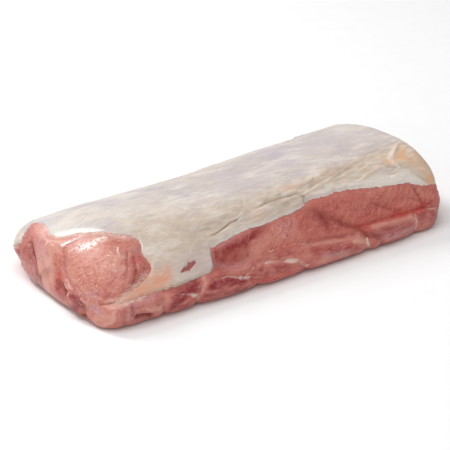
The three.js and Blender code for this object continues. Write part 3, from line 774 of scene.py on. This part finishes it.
WALL_MARKS = [  # on the front wall: path as distance from the left end and height, then the same
    ([(25, 16), (23, 10), (23, 3)], 1.1, 0.8, {"blood": 0.4}),
    ([(33, 13), (38, 15), (46, 11)], 0.9, -0.2, {"white": 0.6}),
    ([(34, 9), (40, 8), (46, 6)], 2.4, 2.0, {"blood": 1.0}),
    ([(28, 13), (36, 19), (48, 20)], 5.0, 0.0, {"lilac": 0.5}),
    ([(43, 13), (54, 10), (61, 15)], 2.6, 0.0, {"peach": 0.5}),
    ([(58, 15), (58, 10), (60, 2)], 1.0, 1.0, {"white": 0.7}),
    ([(66, 10), (74, 14), (88, 19)], 4.8, 0.0, {"deep": 1.1}),
    ([(68, 6), (80, 6)], 3.0, 0.0, {"deep": 0.6}),
    ([(71, 16), (84, 13), (91, 7)], 1.0, 0.7, {"white": 0.8}),
    ([(83, 13), (87, 11), (91, 6)], 2.0, 0.0, {"white": 1.1}),
    ([(99, 23), (94, 17), (90, 8), (88, 0)], 1.5, 1.3, {"peach": 0.8}),
    ([(100, 15), (115, 15), (130, 12)], 3.4, 0.0, {"deep": 1.1}),
    ([(92, 8), (112, 7), (130, 5)], 3.4, 0.0, {"deep": 0.7}),
    ([(139, 7), (156, 7), (174, 7)], 2.6, 0.0, {"vivid": 0.4}),
    ([(118, 22), (138, 22)], 2.0, 0.0, {"lilac": 0.5}),
    ([(104, 19), (117, 18), (130, 14), (136, 10), (146, 2)], 1.0, 0.8, {"white": 0.8}),
    ([(127, 15), (134, 12.5)], 2.0, 0.0, {"white": 1.05}),
    ([(141, 18), (130, 14)], 0.8, 0.4, {"white": 0.9}),
    ([(138, 13), (152, 14), (169, 12)], 3.4, 0.0, {"deep": 0.6}),
    ([(151, 20), (163, 17), (177, 15), (183, 11), (190, 3)], 1.0, 0.9, {"white": 0.85}),
    ([(173, 15.5), (182, 13), (190, 7)], 2.3, 0.2, {"white": 1.9}),
    ([(159, 24), (171, 25), (184, 24), (194, 23)], 0.8, 0.4, {"white": 0.8, "vivid": 0.3}),
    ([(155, 21), (184, 21)], 2.2, 0.0, {"deep": 0.3}),
    ([(112, 26), (125, 28), (140, 28)], 5.0, 0.0, {"blood": 0.55}),
    ([(114, 31), (130, 33), (143, 34), (155, 37), (168, 41)], 3.0, 0.0, {"deep": 1.0}),
    ([(120, 36), (134, 38), (150, 40)], 2.6, 0.0, {"lilac": 0.5, "deep": 0.3}),
    ([(151, 29), (165, 31), (185, 32)], 5.0, 0.0, {"pale": 0.6}),
    ([(136, 23), (150, 27), (160, 34)], 4.6, 0.0, {"pale": 0.7}),
    ([(150, 36), (158, 39), (166, 41.5)], 1.6, 0.3, {"blood": 0.6}),
    ([(176, 36), (190, 38)], 4.0, 0.0, {"lilac": 0.4}),
    ([(145, 19), (164, 21)], 2.0, 0.0, {"pale": 0.6}),
    ([(203, 44), (213, 36), (219, 29)], 5.0, 0.4, {"deep": 0.7}),
    ([(203, 44), (215, 47), (234, 47)], 3.4, 0.0, {"deep": 0.9}),
    ([(262, 39), (282, 37), (303, 35)], 5.0, 0.0, {"pale": 0.25}),
    ([(309, 35), (322, 31)], 5.0, 0.0, {"pale": 0.2}),
    ([(255, 32), (279, 30)], 3.6, 0.0, {"deep": 0.25}),
    ([(264, 38), (267, 35)], 0.8, 0.0, {"white": 0.6}),
    ([(193, 22), (211, 19.5), (227, 17.5), (240, 16), (247, 12), (251, 4)], 1.5, 0.6, {"peach": 0.6}),
    ([(196, 23), (215, 21.5), (240, 19)], 0.9, 1.2, {"blood": 0.5}),
    ([(198, 18), (209, 16), (225, 12.5), (236, 10)], 3.2, 0.3, {"deep": 0.65, "vivid": 0.15}),
    ([(205, 12), (222, 9), (236, 8)], 2.2, 0.0, {"lilac": 0.9}),
    ([(200, 8), (212, 7), (228, 6)], 2.4, 0.0, {"peach": 0.4}),
    ([(236, 15), (246, 13), (250, 9)], 1.8, -0.4, {"peach": 1.1}),
    ([(249, 14), (252, 5)], 1.5, 0.6, {"white": 1.2}),
    ([(251, 16), (258, 13), (264, 10), (266, 3)], 0.9, 0.8, {"white": 0.4, "blood": 0.2}),
    ([(257, 20), (274, 19), (290, 18), (300, 17)], 1.6, -0.3, {"peach": 0.65}),
    ([(262, 15.5), (280, 14), (294, 12.5)], 2.8, 0.3, {"deep": 0.6, "lilac": 0.3}),
    ([(265, 10), (280, 9), (296, 9)], 2.6, 0.0, {"lilac": 0.9}),
    ([(294, 18), (300, 16), (301, 11)], 1.7, -0.4, {"peach": 1.0}),
    ([(301, 18), (302, 13), (302, 4)], 1.5, 1.0, {"white": 1.2}),
    ([(109, 27), (114, 25), (119, 24)], 2.0, -0.4, {"lilac": 1.0}),
    ([(308, 36), (316, 31), (323, 26)], 4.0, 0.0, {"pale": 0.3}),
    ([(306, 17), (315, 15), (324, 11)], 5.0, 0.0, {"deep": 0.6}),
    ([(315, 19), (325, 17)], 1.0, 0.4, {"white": 0.8}),
    ([(244, 22), (267, 21.5), (284, 21.5)], 2.2, 0.0, {"vivid": 0.6}),
    ([(280, 22), (301, 21), (312, 23)], 3.0, 0.0, {"vivid": 0.9}),
    ([(246, 22), (268, 22.5), (282, 22.5), (300, 21.5), (321, 23)], 1.2, 1.6, {"blood": 0.5}),
    ([(207, 43), (219, 36), (232, 28), (243, 22), (249, 17), (262, 12)], 2.8, 1.0, {"blood": 0.65}),
    ([(265, 35), (272, 30), (281, 26), (289, 25)], 0.9, 0.5, {"blood": 0.6}),
    ([(268, 37), (269, 33)], 0.8, 0.3, {"blood": 0.4}),
    ([(306, 38), (308, 31), (310, 26), (311, 22)], 0.9, 0.7, {"blood": 0.8}),
    ([(299, 31), (307, 27), (312, 25)], 0.8, 0.3, {"blood": 0.5}),
    ([(62, 22), (92, 24), (151, 22), (192, 23)], 1.8, 0.8, {"blood": 0.15}),
]
RIGHT_MARKS = [  # on the right cut: path across and up, then the same
    ([(-58, 52), (-50, 36), (-36, 17), (-8, 7), (24, 6), (48, 10)], 1.2, 1.4, {"white": 0.8}),
    ([(36, 52), (50, 34), (58, 20), (60, 4)], 1.1, 1.4, {"white": 0.6, "blood": 0.3}),
    ([(-72, 38), (-58, 26), (-50, 8)], 1.0, 1.2, {"white": 0.5, "blood": 0.3}),
    ([(-66, 14), (-60, 24)], 6.0, 0.0, {"deep": 0.7}),
    ([(-66, 42), (-58, 40)], 5.0, -0.6, {"deep": 0.5}),
    ([(56, 34), (68, 20)], 6.0, 0.0, {"deep": 0.5}),
    ([(-6, 4), (30, 3)], 3.0, 0.0, {"deep": 0.6}),
    ([(-34, 38), (-10, 45), (14, 44)], 0.7, 0.1, {"white": 0.35}),
    ([(-6, 22), (12, 26), (26, 24)], 0.7, 0.1, {"white": 0.3}),
    ([(-30, 26), (-22, 30)], 0.8, 0.1, {"white": 0.35}),
    ([(22, 36), (34, 30)], 0.7, 0.1, {"white": 0.3}),
]
PAD_RISE = 2.0
BITE, GUTTER_FADE = 0.25, 7.0


def outward_normals(points, faces):
    across = np.cross(points[faces[:, 2]] - points[faces[:, 0]], points[faces[:, 3]] - points[faces[:, 1]])
    total = np.stack([sum(np.bincount(faces[:, corner], across[:, c], len(points)) for corner in range(4))
                      for c in range(3)], -1)
    return total / np.linalg.norm(total, axis=1)[:, None]


# a box of cells bent into the form: its long sides follow the section, its ends close over the cuts
corners, meat_faces = box_grid(*MEAT_CELLS)
a, b, c = corners.T
rho = np.maximum(np.abs(b), np.abs(c))
rb, rc = b / np.maximum(rho, 1e-9), c / np.maximum(rho, 1e-9)
whole = 1 - 1e-6
v = np.where(rb <= -whole, (rc + 1) / 2 * 3,
             np.where(rc >= whole, 3 + (rb + 1) / 2 * 3,
                      np.where(rb >= whole, 6 + (1 - rc) / 2 * 2, 8 + (1 - rb) / 2 * 3)))
first, last = depth_of(RIM, ROUND_LEFT), LENGTH - depth_of(RIM, ROUND_RIGHT)
x = mix(first, last, (a + 1) / 2 - 0.05 * np.sin(np.pi * (a + 1)))
left_face, right_face = a <= -whole, a >= whole
k = np.where(left_face | right_face, rho * RIM, share(x))
x = np.where(left_face, depth_of(k, ROUND_LEFT), np.where(right_face, LENGTH - depth_of(k, ROUND_RIGHT), x))
points = form(x, v, k)
out = outward_normals(points, meat_faces)

# under the fat, and just before its lip, the meat lies lower by the thickness of the fat, which
# is grown onto it and so reaches a little into it
inside = inside_fat(x, v)
run, girth = run_of(x), girth_of(v)
rim = np.where(x < LENGTH / 2, smooth((k - 0.35) / 0.2), smooth((k - 0.5) / 0.3)) * (v <= 9)
flush = (1 - smooth((run - 35) / 30)) * smooth((girth - 150) / 12)
rise = smooth((0.9 * flush - inside) / mix(GUTTER_FADE, 2.4, flush))
sunk = rim * (fat_depth(np.maximum(inside, 0), run, girth) - BITE) * (1 - rise)
bare = 1 - smooth((inside + 7) / 7) * (v <= 9)

# muscles swell, and each mark cuts its groove and leaves its tone along a slightly stirred path
warp = stirred(points, 9, (21, 22, 23)) * 0.9
moved = points + warp
relief = corner_swell(points)
for middle, radii, swelling in MUSCLES:
    relief += swelling * lump(points, middle, radii)
tone_names = ("pale", "peach", "lilac", "deep", "vivid", "blood", "white", "glare")
tones = {name: np.zeros(len(points)) for name in tone_names}
patchy = 0.92 + 0.5 * noise(points, 5, 24)
broken = np.clip(0.75 + 0.8 * noise(points, 7, 44), 0.3, 1)
on_wall = smooth((-50 - points[:, 1]) / 12) * (out[:, 1] < -0.05)
on_end = 1 - smooth((x - 30) / 30)
on_right = smooth((x - 322) / 8)
everywhere = np.ones(len(points))
seam_gap = np.full(len(points), 30.0)
for marks, place, limit in ((CUT_MARKS, moved, everywhere), (WALL_MARKS, moved[:, [0, 2]], on_wall),
                            (RIGHT_MARKS, moved[:, [1, 2]], on_right)):
    for path, width, depth, colours in marks:
        away = path_distance(place, path)[0]
        relief -= depth * bell(away / (width + 0.5)) * limit
        thread = bell(away / (0.75 * width)) * broken
        stain = bell(away / width) * patchy
        for name, strength in colours.items():
            drawn = thread if name in ("white", "glare") else stain
            tones[name] = np.maximum(tones[name], strength * drawn * limit)
        if marks is WALL_MARKS and depth > 0.35 and min(height for _, height in path) < 20:
            seam_gap = np.minimum(seam_gap, away)

# the small muscles along the foot swell between the seams
chain = on_wall * smooth((25 - points[:, 2]) / 5) * smooth((points[:, 2] + 2) / 5)
chain *= smooth((points[:, 0] - 24) / 20)
relief += PAD_RISE * chain * (1 - np.exp(-seam_gap / 4.5)) - 0.4 * chain

# muscle fibre: slanting down the front wall, in arcs round the eye on the cut
slant = points[:, [0, 2]] @ np.array([[0.80, -0.60], [0.60, 0.80]])
bend = stirred(points, 30, (40, 41)) * 9
fibre = noise(slant + bend + warp[:, :2] * 2.5, (13, 2.3), 25) + 0.6 * noise(slant + bend, (8, 1.5), 26)
upper = on_wall * smooth((points[:, 2] - 19) / 6)
relief += 0.13 * fibre * upper
relief += 0.12 * noise(points[:, [0, 2]] + warp[:, :2], (14, 1.9), 27) * chain
from_eye = points - (16, -40, 14)
radius, angle = np.hypot(from_eye[:, 1], from_eye[:, 2]), np.arctan2(from_eye[:, 2], from_eye[:, 1])
round_eye = np.stack([radius, angle * 25], -1)
round_eye += warp[:, :2]
ridges = 0.6 * noise(round_eye, (1.6, 11), 28) + noise(round_eye, (3.0, 18), 29)
eye = lump(points, (27, -36, 38), (32, 28, 26))
right_eye = lump(points, (335, -4, 28), (15.65, 46.96, 26.83))

# relief of the cut, and slow unevenness all over
relief += on_end * (0.26 * ridges * eye + (1 - eye) * 0.16 * noise(points, (9, 5, 2.6), 35))
relief += 0.45 * noise(points, 26, 30) + 0.2 * noise(points, 10, 31) + 0.07 * noise(points, 3, 36)

# a butcher's underside: shallow marks across it where the rib fingers were
fingers = np.sin((points[:, 0] + 0.35 * points[:, 1]) * 2 * np.pi / 27 + 0.6 * noise(points, 40, 32))
hollow = np.clip(fingers, 0, 1) * 1.1 * smooth((60 - np.abs(points[:, 1])) / 25) * smooth((k - 0.97) / 0.03)
relief = np.where(v > 9, relief * 0.3, mix(corner_swell(points), relief, bare))
meat_points = points + out * (relief - sunk)[:, None]
meat_points[:, 2] = np.maximum(meat_points[:, 2], 0)
bottom = (c <= -whole) & (k > 0.9)
meat_points[bottom, 2] = np.maximum(points[bottom, 2], 0) + np.where(hollow > 0.05, hollow, 0)[bottom]

# where each tone of the meat lies, from 0 to 1
strip = lump(points, (10, 6, 24), (16, 12, 24))
side = lump(points, (52, -57, 37), (11, 12, 12))
redness = 0.72 + 0.12 * noise(points, 18, 33) + 0.75 * side + upper * (0.12 + 0.16 * fibre)
redness -= 0.42 * eye ** 0.7 + 0.62 * strip + 0.35 * right_eye

# a thin white film runs out from the edge of the fat; it is widest over the eye, where it is also a painted
# highlight standing in for wet glare
teeth = noise(np.stack([run, girth], -1), (7, 1.6), 3)
wide = 1 + 1.3 * bell((girth - 90) / 28)
film_and_highlight = bell((inside + 0.5) / (wide * (2.2 + 1.4 * teeth))) * rim * (0.1 + 0.9 * on_end)

meat_masks = tones | {"film_and_highlight": film_and_highlight, "redness": redness, "wall": upper, "chain": chain, "eye": on_end * eye,
                      "wet": 0.25 + 0.75 * on_end}
meat_masks = {name: np.clip(values, 0, 1) for name, values in meat_masks.items()}
meat_masks["radius"], meat_masks["arc"] = round_eye.T / MM

# Raw pork muscle, cut by knife and wet: fine fibre down the wall, arcs of grain round the eye muscle, pale
# threads in the seams and small painted glints on the cut, over patches that run from rose to wine red.
raw_meat, tree = new_material("raw_pork_muscle")
where = add(tree, "ShaderNodeTexCoord").outputs["Object"]
mask = {name: add(tree, "ShaderNodeAttribute", attribute_name=name).outputs["Fac"] for name in meat_masks}


def wander(tree, where, size, reach):
    """The place pushed about by up to reach mm, in swirls size mm across."""
    swirls = add(tree, "ShaderNodeTexNoise", {"Vector": where, "Scale": MM / size, "Detail": 1.0})
    centred = add(tree, "ShaderNodeVectorMath", {0: swirls.outputs["Color"], 1: (0.5, 0.5, 0.5)},
                  operation="SUBTRACT")
    push = add(tree, "ShaderNodeVectorMath", {0: centred.outputs["Vector"], "Scale": 2 * reach / MM},
               operation="SCALE").outputs["Vector"]
    return add(tree, "ShaderNodeVectorMath", {0: where, 1: push}, operation="ADD").outputs["Vector"]


def threads(tree, where, lengths, thickness):
    """Thin winding lines, drawn where a noise passes its middle."""
    return add(tree, "ShaderNodeMath", {0: speckle(tree, where, lengths, 1.5, 0.5), 1: 0.5, 2: thickness},
               operation="COMPARE").outputs["Value"]


# real fibre bundles are under a millimetre across, too fine to show, so they are drawn twice as coarse
FIBRE_SLANT = 37.0
turned = {"Vector": wander(tree, where, 34, 13), "Rotation": (0, np.radians(FIBRE_SLANT), 0)}
down_wall = add(tree, "ShaderNodeMapping", turned).outputs["Vector"]
arcs = add(tree, "ShaderNodeCombineXYZ", {"X": mask["arc"], "Y": mask["radius"]}).outputs["Vector"]
wall_fibre = speckle(tree, down_wall, (10, 5, 1.7), 5.0, 0.7)
pad_fibre = speckle(tree, wander(tree, where, 26, 5), (12, 4, 1.9), 4.0, 0.65)
eye_grain = speckle(tree, wander(tree, arcs, 12, 2), (8, 1.8, 1), 4.0, 0.6)
grain = speckle(tree, where, (2.4, 1.8, 1.8), 4.0, 0.6)
grain_here = spread(tree, mask["wet"], 0.25, 1, 0.4, 1)
cloudy = speckle(tree, where, (16, 12, 9), 3.0)
blotches = speckle(tree, wander(tree, where, 20, 8), (12, 9, 5), 4.0, 0.65)
veins = threads(tree, wander(tree, where, 18, 4), (16, 6, 5), 0.009)
fringe = speckle(tree, where, (5, 1.1, 1.1), 4.0, 0.7)
# glints: painted highlights along the eye muscle's grain
glints = speckle(tree, wander(tree, arcs, 9, 3), (9, 1.0, 1), 3.0, 0.6)
glinting = spread(tree, cloudy, 0.40, 0.54, over=mask["eye"])
meat_colour = painted(tree, linear("d29482"), [
    (mask["redness"], "b85c53"),
    (spread(tree, mask["chain"], 0, 1, 0, 0.1), "984a4e"),
    (mask["pale"], "d39486"),
    (mask["lilac"], "bf8d90"),
    (spread(tree, blotches, 0.52, 0.72, 0, 0.6), "a34a45"),
    (spread(tree, cloudy, 0.48, 0.30, 0, 0.5), "cf8a7c"),
    (mask["deep"], "8a2a33"),
    (mask["vivid"], "bf3a2c"),
    (spread(tree, wall_fibre, 0.52, 0.66, 0, 0.65, over=mask["wall"]), "c77f6e"),
    (spread(tree, wall_fibre, 0.48, 0.34, 0, 0.65, over=mask["wall"]), "93392f"),
    (spread(tree, pad_fibre, 0.52, 0.68, 0, 0.5, over=mask["chain"]), "d29286"),
    (spread(tree, pad_fibre, 0.47, 0.36, 0, 0.4, over=mask["chain"]), "8d3337"),
    (spread(tree, eye_grain, 0.52, 0.66, 0, 0.6, over=mask["eye"]), "dfae99"),
    (spread(tree, eye_grain, 0.48, 0.35, 0, 0.65, over=mask["eye"]), "bb6a5a"),
    (spread(tree, grain, 0.52, 0.66, 0, 0.4, over=grain_here), "dba295"),
    (spread(tree, grain, 0.47, 0.34, 0, 0.3, over=grain_here), "8f3d38"),
    (spread(tree, cloudy, 0.44, 0.56, 0, 0.22, over=veins), "e0b8a9"),
    (spread(tree, cloudy, 0.38, 0.62, 0.95, 0.6, over=mask["peach"]), "dba393"),
    (mask["blood"], "802820"),
    (spread(tree, ragged(tree, mask["white"], where, 2.6, 0.25, 0.95), 0, 1, 0, 0.85), "e2c9bc"),
    # the film, partly a painted highlight over the eye
    (spread(tree, fringe, 0.40, 0.62, over=mask["film_and_highlight"]), "ead8cc"),
    # painted highlights: glints on the eye muscle and glare on the cut
    (spread(tree, glints, 0.58, 0.64, over=glinting), "ecc9ba"),
    (spread(tree, grain, 0.42, 0.54, over=mask["glare"]), "fffaf6"),
])
surface = pressed(tree, [
    (spread(tree, wall_fibre, 0, 1, over=mask["wall"]), 0.4, 0.7),
    (spread(tree, eye_grain, 0, 1, over=mask["eye"]), 0.6, 0.8),
    (spread(tree, pad_fibre, 0, 1, over=mask["chain"]), 0.5, 0.6),
    (spread(tree, grain, 0, 1, over=grain_here), 0.8, 0.6),
])
meat_shader = add(tree, "ShaderNodeBsdfPrincipled", {
    "Base Color": meat_colour, "Roughness": spread(tree, cloudy, 0.3, 0.7, 0.32, 0.5), "IOR": 1.40,
    "Normal": surface, "Specular IOR Level": 0.3,
    "Subsurface Weight": 0.12, "Subsurface Radius": (1.0, 0.35, 0.25), "Subsurface Scale": 0.002,
    "Coat Weight": spread(tree, mask["wet"], 0.2, 1, 0.1, 0.52), "Coat Roughness": 0.10,
    "Coat Normal": surface})
add(tree, "ShaderNodeOutputMaterial", {"Surface": meat_shader.outputs["BSDF"]})

meat = build("loin_meat_cut", meat_points, meat_faces, meat_masks, raw_meat)
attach(meat, "root")
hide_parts("loin_meat")
